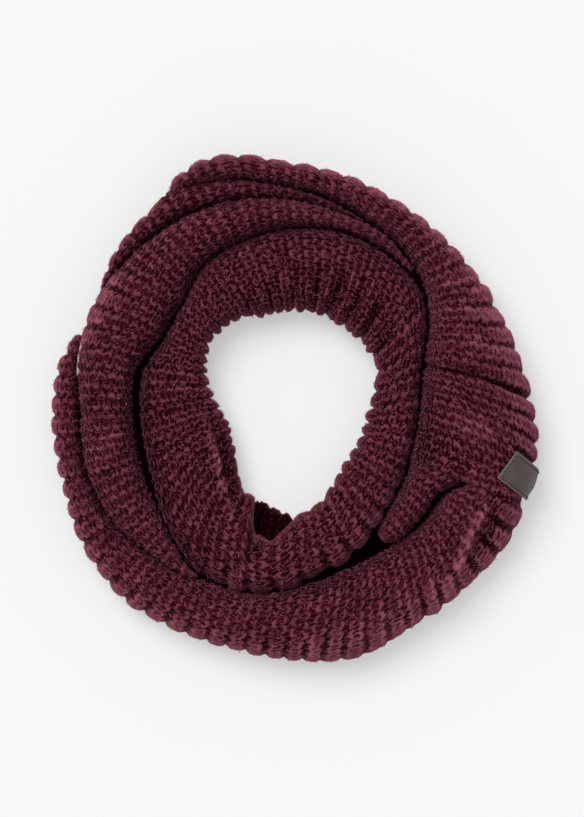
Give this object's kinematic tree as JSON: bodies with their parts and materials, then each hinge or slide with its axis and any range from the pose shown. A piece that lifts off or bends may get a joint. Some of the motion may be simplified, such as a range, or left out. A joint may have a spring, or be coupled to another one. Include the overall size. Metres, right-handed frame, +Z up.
{
  "type": "infinity scarf",
  "caption": "Closed loop scarf of chunky purl rib knit, wound round and laid flat as a ring, with a small bare label folded over its outer edge.",
  "frame": {"origin": "on the surface that the scarf lies on, under the middle of its box", "axes": "+Z up from that surface; +Y towards the stretch with the overlapping upper folds, away from a viewer who has the label on the right; +X to the right, on the label's side"},
  "size_m": [0.2916, 0.3044, 0.0544],
  "materials": {
    "knit": "brushed chunky rib knit in dark wine red melange yarn, matt with a soft pink nap",
    "label": "matt dark grey-brown imitation leather with a stitched border"
  },
  "bodies": {
    "root": {"inner_turn_left": "knit", "inner_turn_top": "knit", "inner_turn_right": "knit", "middle_turn": "knit", "upper_fold": "knit", "outer_turn_upper": "knit", "outer_turn_right": "knit", "tucked_end": "knit", "outer_turn_lower": "knit", "hidden_layers": "knit", "label": "label"}
  },
  "joints": []
}
